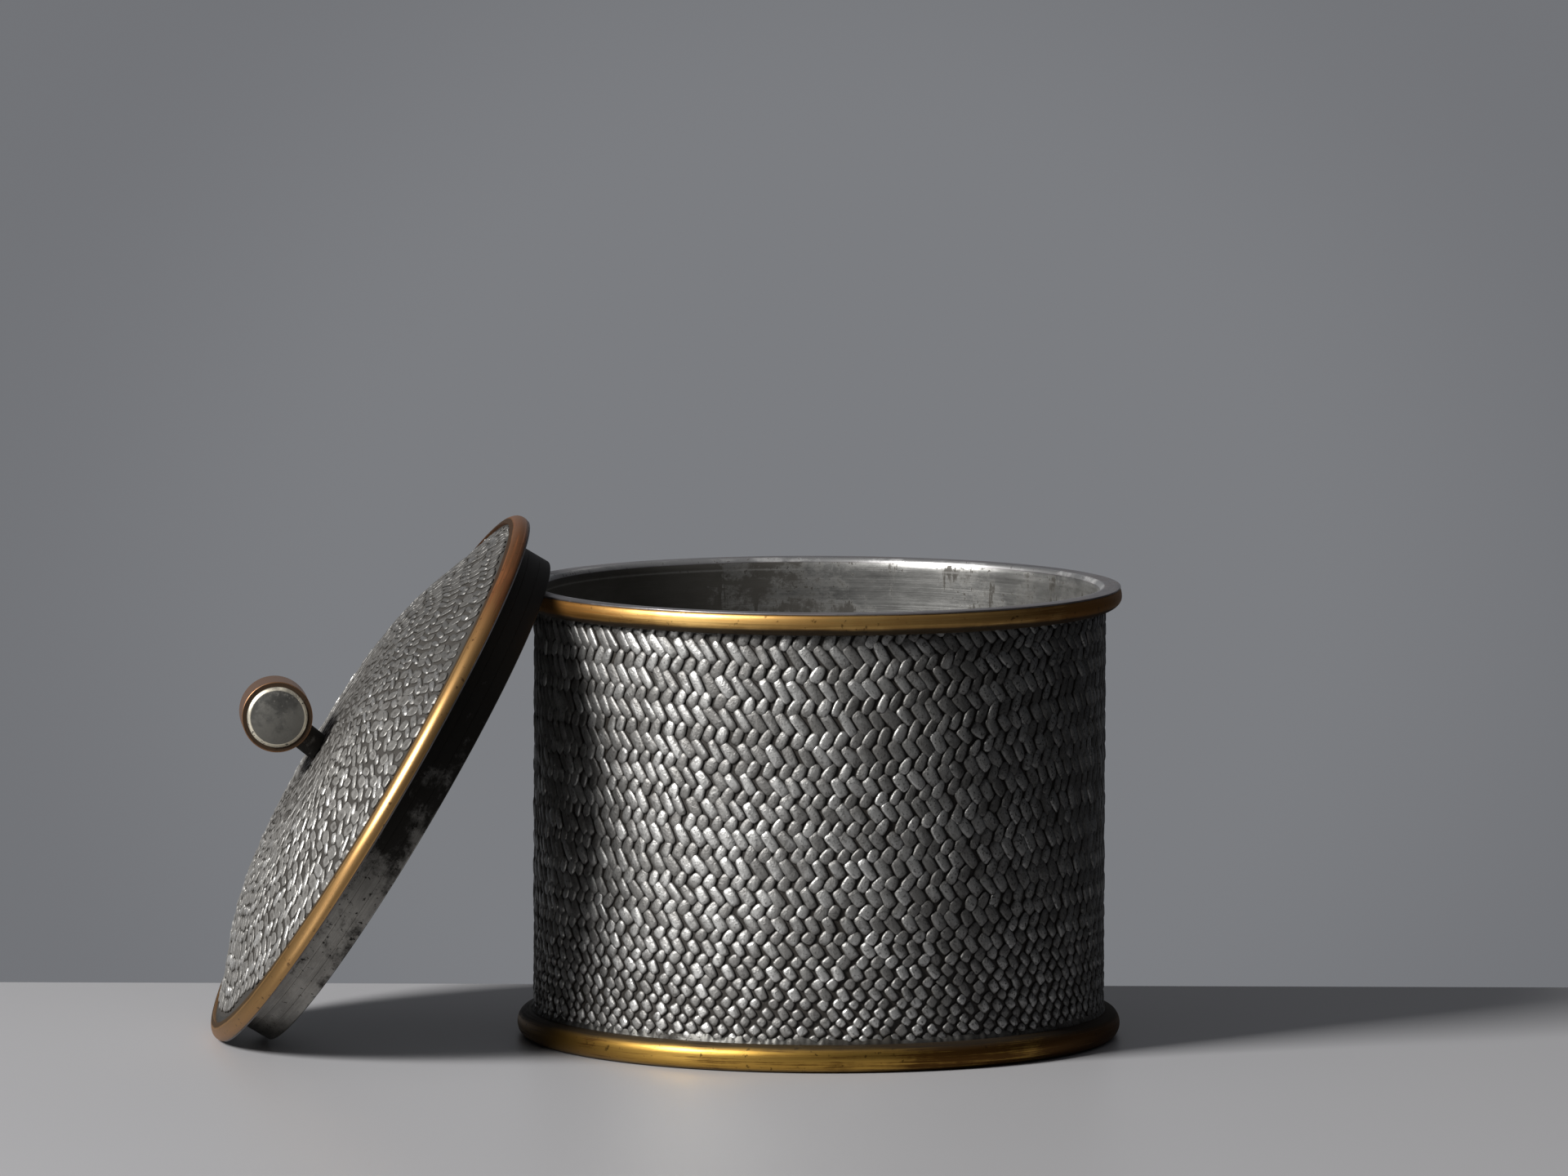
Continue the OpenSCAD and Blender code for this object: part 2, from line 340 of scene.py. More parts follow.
def strips(name, rows, place, front, body, metal, replaced, seed):
    """Woven strips in rows, each a small closed cushion, with no two quite alike.

    A strip's outline is a superellipse: p along it and q across it are the cosine and sine of
    an angle, each raised to 2 / squareness, and q grows or shrinks along p by the taper.
    Rings of shrinking outlines rise as the square root of 1 - share^5 to a flat crown, which
    a dished strip has sunk by dish * (1 - share^2), and the lowest ring is sunk into the
    wall. place turns the angle round the axis, the distance along the surface and the height
    over it, all as arrays, into points. A row's strips are counted from the angle front. Its
    loose tells how far they stray from their places and sizes.
    """
    around = 14
    share = np.array([0.55, 0.83, 0.95, 1.0])
    rise = np.append(np.sqrt(1 - share[:-1] ** 5), -0.3)
    counts = [row["count"] for row in rows]
    keys = ("at", "radius", "shift", "slant", "length", "width", "taper", "square", "tall",
            "dish", "loose")
    at, radius, shift, slant, length, width, taper, square, tall, dish, loose = [
        np.repeat([row[key] for row in rows], counts) for key in keys]
    number = np.concatenate([np.arange(count) - count // 2 for count in counts])
    draws = np.random.default_rng(seed).normal(size=(13, len(number))).clip(-2.2, 2.2)
    draws[[0, 1, 2, 3, 12]] *= loose
    (off_turn, off_slant, off_length, off_width, off_square, off_taper, oval, oval_turn,
     lean_along, lean_across, off_tall, tone, off_at) = draws
    turn = front + (number + 0.06 * off_turn - shift) * 2 * np.pi / np.repeat(counts, counts)
    at = at + 0.00006 * off_at
    slant = np.radians(slant + 4.5 * off_slant)[:, None, None]
    half_l = 0.5 * length * (1 + 0.07 * off_length)
    half_w = 0.5 * width * (1 + 0.06 * off_width)
    t = (np.arange(around) + 0.5) * 2 * np.pi / around
    power = (2 / (square + 0.25 * off_square))[:, None]
    p = np.sign(np.cos(t)) * np.abs(np.cos(t)) ** power
    q = np.sign(np.sin(t)) * np.abs(np.sin(t)) ** power
    q = q * (1 + (taper + 0.08 * off_taper)[:, None] * p)
    uneven = 1 + 0.035 * oval[:, None] * np.cos(2 * t + oval_turn[:, None])
    p, q = (p * uneven)[:, None, :], (q * uneven)[:, None, :]
    p, q = share[:, None] * p, share[:, None] * q
    # The crown leans a little, so that each strip catches the light in its own way
    lift = 1 + (0.10 * lean_along)[:, None, None] * p + (0.12 * lean_across)[:, None, None] * q
    crown = tall * (1 + 0.10 * off_tall)
    sunk = 1 - dish[:, None] * (1 - np.append(share, 0) ** 2 / share[-2] ** 2).clip(0, 1)
    height = (rise * sunk[:, :-1] * crown[:, None])[..., None] * lift
    p, q = p * half_l[:, None, None], q * half_w[:, None, None]
    x = p * np.cos(slant) - q * np.sin(slant)
    y = p * np.sin(slant) + q * np.cos(slant)
    n_ring = len(share) * around
    x = np.concatenate([x.reshape(-1, n_ring), 0 * x[:, 0, :1]], 1)
    y = np.concatenate([y.reshape(-1, n_ring), 0 * y[:, 0, :1]], 1)
    height = np.concatenate([height.reshape(-1, n_ring), (crown * sunk[:, -1])[:, None]], 1)
    points = place(turn[:, None] + x / radius[:, None], at[:, None] + y, height)
    # One strip's faces: a fan, three bands of quads, and the hidden underside
    k = np.arange(around)
    ring = k + around * np.arange(len(share))[:, None]
    after = np.roll(ring, -1, 1)
    fan = np.stack([0 * k + n_ring, ring[0], after[0]], -1)
    bands = np.stack([ring[:-1], ring[1:], after[1:], after[:-1]], -1).reshape(-1, 4)
    under = ring[-1][::-1]
    first = np.arange(len(number))[:, None, None] * (n_ring + 1)
    faces = ((fan + first).reshape(-1, 3).tolist() + (bands + first).reshape(-1, 4).tolist()
             + (under + first[:, 0]).tolist())
    layers = {"relief": height.ravel() / tall.max(), "tone": np.repeat(tone, n_ring + 1)}
    return new_piece(name, points.reshape(-1, 3), faces, layers, metal, body, replaced)


photo_side = np.radians(-95.19)          # the side of the box that faces the camera
tuck = 0.0004                            # how far the top row goes in behind the moulding


def smooth_step(x, low, high):
    """0 below low, 1 above high, and the curve 3 t^2 - 2 t^3 between them."""
    t = ((x - low) / (high - low)).clip(0, 1)
    return t * t * (3 - 2 * t)


def on_wall(turn, z, height):
    """Points over the wall's hollows, where rows stray from level as those in the photo do.

    From the front to the right the rows climb by a share of the rise at their height, and
    they sink again round the back. To the left the upper rows climb a little. Degrees are
    counted to the right from the front, and go from -60 to 300.
    """
    degrees = (np.degrees(turn - photo_side) + 60) % 360 - 60
    rise = 0.0068 * smooth_step(z, 0.018, 0.062) + 0.0013 * smooth_step(z, 0.0, 0.02)
    rise = rise - 0.0030 * smooth_step(z, 0.068, 0.086)
    climb = smooth_step(degrees, 22 - 320 * z, 62) - smooth_step(degrees, 90, 290)
    left = smooth_step(-degrees, 0, 40) + smooth_step(degrees, 240, 300)
    left_rise = 0.0016 * smooth_step(z, 0.036, 0.056)
    z = z + rise * climb + left_rise * left
    z = np.minimum(z, weave_top + tuck)
    r = hollow_r + height
    return np.stack([r * np.cos(turn), r * np.sin(turn), z], -1)


# Heights of the rows of bars, measured at the front
bar_rows = np.array([0.0875, 0.0810, 0.0744, 0.0680, 0.0616, 0.0557, 0.0504, 0.0450, 0.0396,
                     0.0340, 0.0287, 0.0237, 0.0192, 0.0151, 0.0113, 0.0079, 0.0048])
# A bead lies a third of a strip to the left of the bar above it, and the next bar to the right
nest = 0.33
step = 0.27
wall_rows = []
for number, (bar_at, next_at) in enumerate(zip(bar_rows, bar_rows[1:])):
    pair = bar_at - next_at
    count = round(109 + 170 * bar_at)    # the upper rows have more strips
    pitch = 2 * np.pi * wall_r / count
    full = smooth_step(bar_at, 0.010, 0.035)
    close = 0.78 + 0.18 * full
    like = dict(radius=wall_r, count=count, dish=0.0, loose=1.0)
    wall_rows += [
        dict(like, at=bar_at, shift=-step * number, slant=-55, length=(0.78 + 0.06 * full) * pair,
             width=0.84 * close * pitch, taper=0.0, square=3.8, tall=relief),
        dict(like, at=bar_at - 0.5 * pair, shift=nest - step * number,
             slant=50 + 14 * smooth_step(bar_at, 0.02, 0.05), length=(0.58 + 0.06 * full) * pair,
             width=0.84 * close * pitch, taper=-0.12, square=2.9, tall=0.92 * relief)]
for number, band in enumerate(np.array_split(np.arange(len(wall_rows)), 3)):
    strips(f"weave_{number + 1}", [wall_rows[i] for i in band], on_wall, photo_side, "box",
           woven, "body_wall", seed=number + 3)


def ragged(seed, segments, waves, size):
    """An uneven line round a ring: sines with 1 to waves ripples and random turns, to size."""
    tall, turned_by = np.random.default_rng(seed).normal(size=(2, waves))
    turn = np.arange(segments)[:, None] * 2 * np.pi / segments
    line = (tall * np.sin(turn * np.arange(1, waves + 1) + 3 * turned_by)).sum(1)
    return size * line / np.abs(line).max()


# Pewter that ran between the wall and its two mouldings stands as a thin uneven fillet
fillet_metal = stained_pewter_with_painted_light("fillet_pewter", light=(0.15, 0.147, 0.138),
                              stain=(0.03, 0.026, 0.021), amount=0.9, rough=0.46)
fillet_steps = 1440
fillet_root = hollow_r - 0.0005
behind = 0.0003                          # how far it starts behind the moulding
for name, start, tall, out in (("foot_fillet", weave_foot - behind, 0.0016, 0.0010),
                               ("rim_fillet", weave_top + behind, -0.0006, 0.0007)):
    profile = [[fillet_root, start], [hollow_r + out, start],
               [hollow_r + 0.85 * out, start + 0.4 * tall],
               [hollow_r + 0.45 * out, start + 0.8 * tall], [fillet_root, start + tall]]
    stray = np.zeros((fillet_steps, len(profile), 2))
    edge = ragged(5, fillet_steps, 170, 0.55 * tall)
    lumps = ragged(6, fillet_steps, 300, 0.25 * out)
    stray[:, 2:, 1] = edge[:, None] * [0.4, 0.8, 1.0]
    stray[:, 2:4, 0] = lumps[:, None]
    turned(name, profile, "box", fillet_metal, "body_wall",
           segments=fillet_steps, stray=stray)


# ---- The bottom plate ----
# A flat disc of pewter soldered into the foot of the wall. Its upper face is the floor of
# the box, with the same stains and painted shade as the inside of the wall.

floor_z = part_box("base_plate")[1].z
turned("base_plate", [[0, 0], [covered_r, 0], [covered_r, floor_z], [0, floor_z]],
       "box", inside, "base_plate")


# ---- The flat ring round the mouth ----
# Plain pewter, turned flat on top, with a rounded inner edge that is rubbed bright and carries
# a painted highlight. It covers the top of the wall and of the brass moulding, and only its
# thin outer edge shows past the brass.

mouth_out = mouth_high.y
mouth_t = mouth_high.z - mouth_low.z
edge_shown = 0.00025
arris = 0.0001                           # the rounding of the outer edge
# Its rounded inner edge is rubbed bright: wear, and a painted highlight too
worn = stained_pewter_with_painted_light("worn_pewter", light=(0.44, 0.42, 0.43), stain=(0.12, 0.10, 0.10),
                      amount=0.6, rubbed_highlight_from=0.0001, rubbed_highlight_to=0.0014,
                      rubbed_highlight_colour=(0.62, 0.62, 0.62))
mouth_outline = quarter(*flare, flare_seam, 90)
mouth_outline += quarter(mouth_out - arris, mouth_high.z - arris, arris, arris, 90, 0, 4)
mouth_outline += [[mouth_out, mouth_high.z - edge_shown],
                  [mouth_out - mouth_t + edge_shown, mouth_low.z]]
turned("mouth_ring", mouth_outline, "box", worn, "mouth_ring")


# ---- The brass moulding under the mouth ----
# A quarter round of cast and turned brass, soldered round the top of the wall. It is polished
# by handling, with fine turned lines, and goes dark towards its lower edge where it turns
# under: partly brown tarnish, partly painted shade. It is painted darker at its left and
# right and towards +X, a painted shade.

rim_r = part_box("rim_band")[1].y
rim_h = mouth_high.z - weave_top
seam = 0.00005                           # between two pieces that are soldered together


def tarnished_brass_with_painted_shade(name, light, brown, amount, bright_from, bright_to, fade, way=0,
                    middle=0.0, at_ends=0.0, lacquer=0.1):
    """Turned brass: golden, with fine lines round it, brown clouds of tarnish and dark specks.

    It is bright between two lengths along its outline, and past them it goes nearly black
    over a length of fade: on the mouldings partly tarnish, partly painted shade where they
    turn under. It is painted darker towards +X, and darker where it lies far from middle on
    the axis way, which on the box's mouldings is a painted shade at their left and right.
    """
    metal, shader, place = new_metal(name)
    turned_place = attribute(place, "turned", "Vector")
    along = attribute(place, "along")
    lines = turned_place.stretched(45.0, 45.0, 2600.0).grains(1.0, 6.0, 0.75)
    clouds = place.grains(45.0, 5.0, 0.6)
    specks = place.grains(700.0, 2.0).over(0.64, 0.73)
    # Tarnish, and a painted shade that darkens the brass towards +X
    tarnish_and_shade = (clouds * 0.45 + lines * 0.55 + place.axis(0) * 1.2).over(0.44, 0.58) * amount
    from_middle = place.axis(way) - middle
    # Darker far from middle along the axis way: on the box's mouldings, a painted shade at their
    # left and right
    tarnish_and_shade = tarnish_and_shade + (from_middle * from_middle).over(0.0009, 0.0026) * at_ends
    golden = tarnish_and_shade.between(light, brown)
    golden = (specks * 0.7).between(golden, [0.35 * c for c in brown])
    # Past its bright lengths it goes nearly black: on the mouldings partly tarnish, partly painted
    # shade where they turn under
    uneven = along + (clouds - 0.5) * 0.0012
    black = uneven.over(bright_to - fade, bright_to) + uneven.over(bright_from, bright_from - fade)
    dress(shader, Base_Color=(black * 0.92).between(golden, (0.018, 0.012, 0.006)),
          Metallic=0.95 - black * 0.5, Coat_Weight=lacquer * (1 - black), Coat_Roughness=0.28,
          Roughness=0.28 + lines * 0.16 + tarnish_and_shade * 0.14 + black * 0.2,
          Normal=(lines + clouds * 2).bumps(0.25, 0.00006))
    return metal


def moulding(inner, outer, low_edge, belly, far, bulge):
    """The brass moulding's outline, from the flat ring's face at height 0 to its far edge.

    It lies against the ring's face and bevel. From there a quarter ellipse, bulge wide,
    rounds it to its belly, and a long one brings it back in from there to its far edge.
    """
    return ([[inner, far], [inner, mouth_t + seam], [outer - mouth_t, mouth_t + seam],
             [outer - bulge, low_edge]]
            + quarter(outer - bulge, belly, bulge, belly - low_edge, -90, 0, 6)
            + quarter(inner, belly, outer - inner, far - belly, 0, 90, 20))


rim_outline = moulding(wall_r + seam, rim_r, edge_shown + seam,
                       belly=edge_shown + 0.40 * rim_h, far=rim_h, bulge=0.0006)
# Dark towards its lower edge, partly tarnish and partly painted shade, and painted darker at its
# left and right as shade
brass = tarnished_brass_with_painted_shade("brass", light=(1.0, 0.64, 0.22), brown=(0.38, 0.18, 0.045),
                        amount=0.65, bright_from=0.0,
                        bright_to=length_of(rim_outline) - 0.0030, fade=0.0010, at_ends=0.95)
turned("rim_band", [[r, mouth_high.z - h] for r, h in rim_outline],
       "box", brass, "rim_band")


# ---- The brass moulding at the foot ----
# A half oval of the same brass, turned and soldered round the bottom of the wall. The box
# stands on it, and it is browner and duller than the moulding at the mouth. Its upper and
# lower edges go dark, partly tarnish and partly painted shade, and it is painted darker at
# its left and right and towards +X, a painted shade.

foot_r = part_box("foot_band")[1].y
foot_h = weave_foot
foot_bulge = 0.0022
foot_outline = [[wall_r + seam, 0]]
foot_outline += quarter(foot_r - foot_bulge, foot_h / 2, foot_bulge, foot_h / 2, -90, 90, 32)
foot_outline += [[wall_r + seam, foot_h]]
# Dark at its upper and lower edges, partly tarnish and partly painted shade, and painted darker at
# its left and right as shade
foot_brass = tarnished_brass_with_painted_shade("foot_brass", light=(0.47, 0.28, 0.060),
                             brown=(0.10, 0.045, 0.009), amount=1.15, bright_from=0.0033,
                             bright_to=length_of(foot_outline) - 0.0025, fade=0.0016,
                             at_ends=0.6, lacquer=0.0)
turned("foot_band", foot_outline, "box", foot_brass, "foot_band")


# ---- The dome of the lid ----
# A shell of cast pewter with the same woven strips in rings round the knob, smaller and less
# even towards the middle. It is lifted off, and leans on the box with the knob outwards.

lid_axis = Vector(frame["joints"][0]["axis"]).normalized()
skirt_low, skirt_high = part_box("lid_skirt")
skirt_d = 0.0078
seat = (skirt_low + skirt_high) / 2 + lid_axis * skirt_d / 2


def set_on(place, x_way, y_way, z_way):
    """The matrix that takes the origin to a place, and the axes to three square directions."""
    return Matrix.Translation(place) @ Matrix((x_way, y_way, z_way)).transposed().to_4x4()


lean = set_on(seat, (lid_axis.z, 0, -lid_axis.x), (0, 1, 0), lid_axis)


def upright(points):
    """Points of the leaning lid as radius and height, as if it lay level on its seat."""
    x, y, h = ((points - np.array(seat)) @ np.array(lean.to_3x3())).T
    return np.hypot(x, y), h


# The dome's own outline is read from its solid: the highest point at each radius
dome_solid = frame["nodes"]["lid_dome"].data
solid_points = np.zeros(3 * len(dome_solid.vertices))
dome_solid.vertices.foreach_get("co", solid_points)
solid_r, solid_h = upright(solid_points.reshape(-1, 3))
ring_r = np.unique(solid_r.round(5))
ring_h = np.array([solid_h[np.abs(solid_r - r) < 2e-5].max() for r in ring_r])
ring_slope = np.gradient(ring_h, ring_r)
dome_r = ring_r[-1] - 0.00002
dome_t = 0.0012
dome_hollow = 0.00025                    # how far the hollows lie under the solid's surface
dome_relief = 0.00045


def dome_height(radius):
    """The height of the dome's surface at a radius, read between its solid's rings."""
    return np.interp(radius, ring_r, ring_h)


shell_r = np.linspace(0, dome_r, 40)
shell = [[r, dome_height(r) - dome_hollow] for r in shell_r]
shell += [[dome_r, mouth_t], [dome_r - dome_t, mouth_t]]
shell += [[r, dome_height(r) - dome_t] for r in shell_r[:-2][::-1]]
# The dome is painted darker higher up, a painted shade
lid_woven = woven_pewter("lid_woven_pewter", light=(0.45, 0.44, 0.42),
                         dark=(0.050, 0.046, 0.041), wear=(0.98, 0.97, 0.95), way=2,
                         shaded_from=0.050, shaded_to=0.085, painted_shade=0.72, rough=0.47)
under = stained_pewter_with_painted_light("under_pewter", light=(0.50, 0.50, 0.485), stain=(0.13, 0.125, 0.115),
                       amount=0.8)
dome = turned("dome", shell, "lid", lid_woven, "lid_dome", lean)
dome.data.materials.append(under)
dome.data.materials.append(fillet_metal)
# Its underside is plain, and its bare edge is as dark as the fillets
bare_edge = 0.0018
is_under = of_faces(dome, "normal") @ np.array(lid_axis) < -0.5
is_edge = upright(of_faces(dome, "center"))[0] > dome_r - bare_edge
dome.data.polygons.foreach_set("material_index",
                               np.where(is_under, 1, np.where(is_edge, 2, 0)).astype(np.int32))


def on_dome(turn, inward, height):
    """Points over the dome's hollows, raised square to its slope, at minus the radius.

    The rows wander by a sine with three waves round the dome and one with eleven that twists.
    """
    r = -inward + 0.0009 * np.sin(3 * turn + 1.0) + 0.0007 * np.sin(11 * turn - 150 * inward)
    r = r.clip(0.0002, dome_r - 0.0001)
    slope = np.interp(r, ring_r, ring_slope)
    lifted = height - dome_hollow
    out = r - lifted * slope / np.hypot(1, slope)
    up = dome_height(r) + lifted / np.hypot(1, slope)
    own = np.stack([out * np.cos(turn), out * np.sin(turn), up], -1)
    return own @ np.array(lean.to_3x3()).T + np.array(lean.translation)


# A ring of dished bars that point nearly inwards, then one of narrow beads that slant
dome_rows = []
pair_at, shift = dome_r - 0.0030, 0.2
while pair_at > 0.005:
    pair = 0.0036 + 0.026 * pair_at
    for part_at, slant, long, wide, dish in ((0.0, 80, 0.58, 0.86, 0.60),
                                             (0.5, 38, 0.70, 0.50, 0.0)):
        row_at = pair_at - part_at * pair
        count = max(8, round(2 * np.pi * row_at / (0.0019 + 0.015 * row_at)))
        pitch = 2 * np.pi * row_at / count
        tall = dome_relief * (0.55 + 0.45 * smooth_step(row_at, 0.012, 0.035))
        dome_rows.append(dict(at=-row_at, radius=row_at, count=count, shift=shift, slant=slant,
                              length=long * pair, width=wide * pitch, taper=0.0,
                              square=3.0, tall=tall, dish=dish, loose=2.0))
        shift += 0.31
    pair_at -= pair
for number, band in enumerate(np.array_split(np.arange(len(dome_rows)), [6])):
    strips(f"dome_weave_{number + 1}", [dome_rows[i] for i in band], on_dome, -np.pi / 2, "lid",
           lid_woven, "lid_dome", seed=number + 9)


# ---- The flat ring under the lid ----
# Plain pewter like the ring round the mouth, which it seats on. The dome and its moulding are
# soldered to one side of it, and the skirt to the other.

skirt_out = (skirt_high.y - skirt_low.y) / 2
skirt_in = skirt_out - 0.001
lid_less = 0.00003                       # the lid's ring and moulding are a hair smaller
seat_out = mouth_out - lid_less
turned("lid_seat_ring", [[skirt_in, 0], [seat_out, 0], [seat_out, edge_shown],
                         [seat_out - mouth_t + edge_shown, mouth_t], [skirt_in, mouth_t]],
       "lid", worn, "lid_seat_ring", lean)


# ---- The brass moulding of the lid ----
# The box's moulding turned over, so that the two meet as one bead when the lid is on. It is
# golden in its middle, and goes reddish brown towards its upper and lower end.

lid_band_h = 0.0033
lid_band = moulding(dome_r + seam, rim_r - lid_less, edge_shown + seam,
                    belly=edge_shown + 0.25 * lid_band_h, far=lid_band_h, bulge=0.00025)
lid_brass = tarnished_brass_with_painted_shade("aged_brass", light=(0.72, 0.42, 0.16), brown=(0.38, 0.155, 0.06),
                            amount=1.0, bright_from=0.0,
                            bright_to=length_of(lid_band) - 0.0010, fade=0.0006, way=2,
                            middle=0.045, at_ends=0.9, lacquer=0.45)
turned("lid_rim_band", lid_band, "lid", lid_brass, "lid_rim_band", lean)


# ---- The skirt of the lid ----
# A short cylinder of plain pewter that plugs into the mouth. It has a rounded free edge and
# two fine turned lines, and carries smears and stains from use. It is painted darker higher
# up, a painted shade.

groove = 0.00005
skirt_half = (skirt_out - skirt_in) / 2
round_h = 0.0003                         # the rounding of the free edge
skirt_outline = [[skirt_in, 0], [skirt_in, round_h - skirt_d]]
skirt_outline += quarter(skirt_in + skirt_half, round_h - skirt_d, skirt_half, round_h, 180, 360)
for line_at in (0.66, 0.33):
    at = -skirt_d * line_at
    skirt_outline += [[skirt_out, at - groove], [skirt_out - groove, at], [skirt_out, at + groove]]
skirt_outline += [[skirt_out, 0]]
# Painted darker higher up, a painted shade
skirt_metal = stained_pewter_with_painted_light("skirt_pewter", light=(0.52, 0.50, 0.465),
                             stain=(0.020, 0.017, 0.013), amount=0.97,
                             way=2, shaded_from=0.024, shaded_to=0.074)
turned("lid_skirt", skirt_outline, "lid", skirt_metal, "lid_skirt", lean)


# ---- The knob ----
# A brass tube lies across the top of a short pewter stem that is coped to fit it. Each end of
# the tube is closed by a pewter cap, whose bevelled face stands a little proud.

bar_low, bar_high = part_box("knob_bar")
bar_at = (bar_low + bar_high) / 2
bar_r = (bar_high.z - bar_low.z) / 2
bar_half = (bar_high.y - bar_low.y) / 2
bar_t = 0.0009
bar_edge = 0.00015
cap_proud = 0.0006
cap_bevel = 0.0008
cap_r = bar_r - bar_t - seam
cap_d = 0.002                            # its spigot inside the tube

across = Matrix.Translation(bar_at) @ Matrix.Rotation(np.radians(-90), 4, "X")
# The tube is bright along its outside, and black on the cut faces of its ends
tube_fade = 0.0001
knob_brass = tarnished_brass_with_painted_shade("knob_brass", light=(0.46, 0.24, 0.12), brown=(0.26, 0.11, 0.06),
                             amount=0.9, bright_from=bar_t - tube_fade,
                             bright_to=bar_t + 2 * bar_half - tube_fade, fade=tube_fade)
turned("knob_bar", [[bar_r - bar_t, -bar_half], [bar_r - bar_edge, -bar_half],
                    [bar_r, bar_edge - bar_half], [bar_r, bar_half - bar_edge],
                    [bar_r - bar_edge, bar_half], [bar_r - bar_t, bar_half]],
       "lid", knob_brass, "knob_bar", across, segments=128)
# The cap's bevel is rubbed bright: wear, and a painted highlight too
cap_metal = stained_pewter_with_painted_light("cap_pewter", light=(0.30, 0.295, 0.275), stain=(0.15, 0.145, 0.13),
                           amount=0.8, rubbed_highlight_from=cap_d, rubbed_highlight_to=cap_d + 0.0009)
for name, way in (("knob_cap_front", -1), ("knob_cap_back", 1)):
    cap = [[0, bar_half - cap_d], [cap_r, bar_half - cap_d], [cap_r, bar_half],
           [cap_r - 0.2 * cap_bevel, bar_half + 0.5 * cap_proud],
           [cap_r - cap_bevel, bar_half + cap_proud], [0, bar_half + cap_proud]]
    turned(name, [[r, way * h] for r, h in cap], "lid", cap_metal, name, across,
           segments=128)

# The stem follows the line from the crown to the bar. Its foot is cut level with the crown.
# Its top is coped: it rises by the bar's radius less the root of radius^2 - x^2.
crown = seat + lid_axis * float(ring_h[0])
stem_r = 0.0027
stem_h = (bar_at - crown).length - (bar_r + seam)
stem_way = (bar_at - crown).normalized()
side_way = Vector((0, 1, 0)).cross(stem_way)
stem_steps = 64
stem_x = stem_r * np.cos(np.arange(stem_steps) * 2 * np.pi / stem_steps)
coped = np.zeros((stem_steps, 2, 2))
coped[:, 0, 1] = -stem_x * side_way.dot(lid_axis) / stem_way.dot(lid_axis)
coped[:, 1, 1] = bar_r + seam - np.sqrt((bar_r + seam) ** 2 - stem_x**2)
# The stem is of the skirt's pewter, painted darker like it, a painted shade
turned("knob_stem", [[0, 0], [stem_r, 0], [stem_r, stem_h], [0, stem_h]], "lid", skirt_metal,
       "knob_stem", set_on(crown, side_way, (0, 1, 0), stem_way),
       segments=stem_steps, stray=coped)


# ---- Floor, light and camera ----
# A plain pale table top that ends just behind the box, one large soft lamp from the left, a
# grey backdrop and a dim room with a paler ceiling, and the camera at the photo's place.

scene = bpy.context.scene
row_turn = Matrix.Rotation(np.radians(-5.187), 4, "Z")   # the camera isn't quite square to the lid
table_reach = 3
table_back = 0.0755
corners = [Vector((x, y, 0)) for x, y in ((-table_reach, -table_reach), (table_reach, -table_reach),
                                          (table_reach, table_back), (-table_reach, table_back))]
table = bpy.data.meshes.new("table")
table.from_pydata([row_turn @ corner for corner in corners], [], [(0, 1, 2, 3)])
table_top = bpy.data.objects.new("table", table)
scene.collection.objects.link(table_top)

# The table is pale to the camera, and near the box to metal and glass too. Past that, and to
# soft bounces, it is dark, so that it throws little light back at the box's far side.
pale, pale_shader, pale_place = new_metal("pale_table")
table.materials.append(pale)
pale_cloud = pale_place.grains(3.0).between((0.43, 0.43, 0.445), (0.455, 0.455, 0.47))
rays = pale.node_tree.nodes.new("ShaderNodeLightPath").outputs
mirrored = Shade(rays["Is Glossy Ray"]) + Shade(rays["Is Transmission Ray"])
far_off = pale_place.distance().over(0.07, 0.16)
seen = Shade(rays["Is Camera Ray"]) + mirrored * (1 - far_off * 0.92)
dress(pale_shader, Base_Color=seen.between((0.08, 0.08, 0.08), pale_cloud), Roughness=0.42)

# The lamp looks at the box from its left, and from well above it
lamp_turn = np.radians(-61)
lamp_rise = np.radians(33)
lamp_distance = 2.4
lamp_aim = Vector((-0.02, 0, 0.05))
lamp_way = Vector((np.sin(lamp_turn) * np.cos(lamp_rise), -np.cos(lamp_turn) * np.cos(lamp_rise),
                   np.sin(lamp_rise)))
lamp = bpy.data.lights.new("key", "AREA")
lamp.energy = 84
lamp.size = 0.74
lamp.color = (1.0, 0.985, 0.965)
lamp_stand = bpy.data.objects.new("key", lamp)
lamp_stand.location = lamp_aim + lamp_way * lamp_distance
lamp_stand.rotation_euler = lamp_way.to_track_quat("Z", "Y").to_euler()
scene.collection.objects.link(lamp_stand)

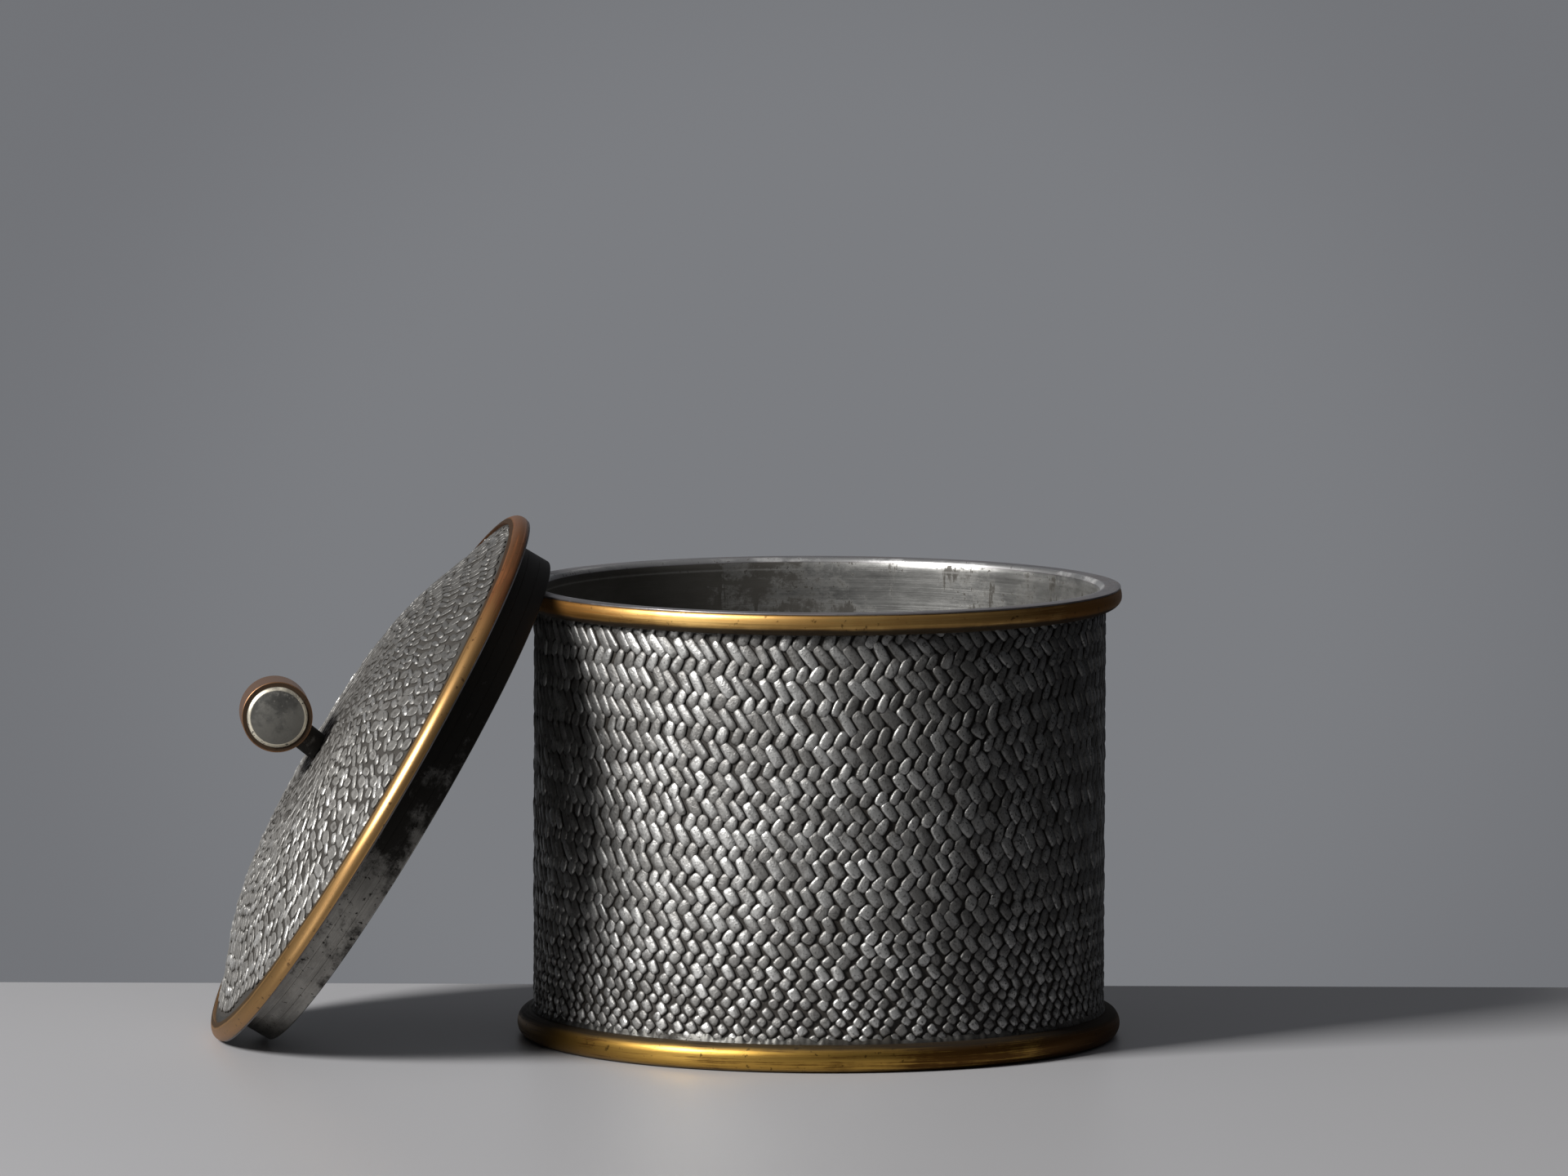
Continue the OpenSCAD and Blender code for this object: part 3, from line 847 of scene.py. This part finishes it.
# The room is dim to the sides, with the lit backdrop behind the box and a paler ceiling
world = bpy.data.worlds.new("studio")
world.use_nodes = True
scene.world = world
toward = Shade(world.node_tree.nodes.new("ShaderNodeTexCoord").outputs["Generated"])
above = toward.axis(2)
room = above.over(0.02, 0.30).between((0.018, 0.019, 0.022), (0.040, 0.041, 0.045))
room = toward.axis(1).over(0.78, 0.97).between(room, (0.190, 0.195, 0.208))
room = above.over(0.45, 1.0).between(room, (0.125, 0.125, 0.13))
# The camera sees the backdrop's grey on every side, a little brighter behind the box
box_way = (0.090, 0.991, -0.098)
backdrop = toward.distance(box_way).over(0.035, 0.072)
backdrop = backdrop.between((0.199, 0.205, 0.219), (0.168, 0.173, 0.186))
rays = world.node_tree.nodes.new("ShaderNodeLightPath").outputs
dress(world.node_tree.nodes["Background"],
      Color=Shade(rays["Is Camera Ray"]).between(room, backdrop))


def swung(one, other, angle):
    """Two square directions, turned in their plane by an angle, the first towards the other."""
    return (np.cos(angle) * one + np.sin(angle) * other,
            np.cos(angle) * other - np.sin(angle) * one)


# The camera's place and turn were fitted to the rims and walls in the photo
camera_distance = 2.5
camera_rise = np.radians(6.587)
aim_height = 0.045
aim_pixel = (1004.02, 990.9)
picture = (1920, 1440)
focal_pixels = 15382.0
roll = np.radians(-0.189)

back = Vector((0, -np.cos(camera_rise), np.sin(camera_rise)))
stand = Vector((0, 0, aim_height)) + camera_distance * back
ahead, right = -back, Vector((1, 0, 0))
up = right.cross(ahead)
right, ahead = swung(right, ahead, np.arctan((aim_pixel[0] - picture[0] / 2) / focal_pixels))
up, ahead = swung(up, ahead, np.arctan((picture[1] / 2 - aim_pixel[1]) / focal_pixels))
right, up = swung(right, up, -roll)
camera_data = bpy.data.cameras.new("camera")
camera_data.sensor_width = 36
camera_data.sensor_fit = "HORIZONTAL"
camera_data.lens = focal_pixels / picture[0] * camera_data.sensor_width
camera_data.clip_end = 50
camera = bpy.data.objects.new("camera", camera_data)
camera.matrix_world = row_turn @ set_on(stand, right, up, -ahead)
scene.collection.objects.link(camera)
scene.camera = camera
scene.view_settings.view_transform = "Standard"
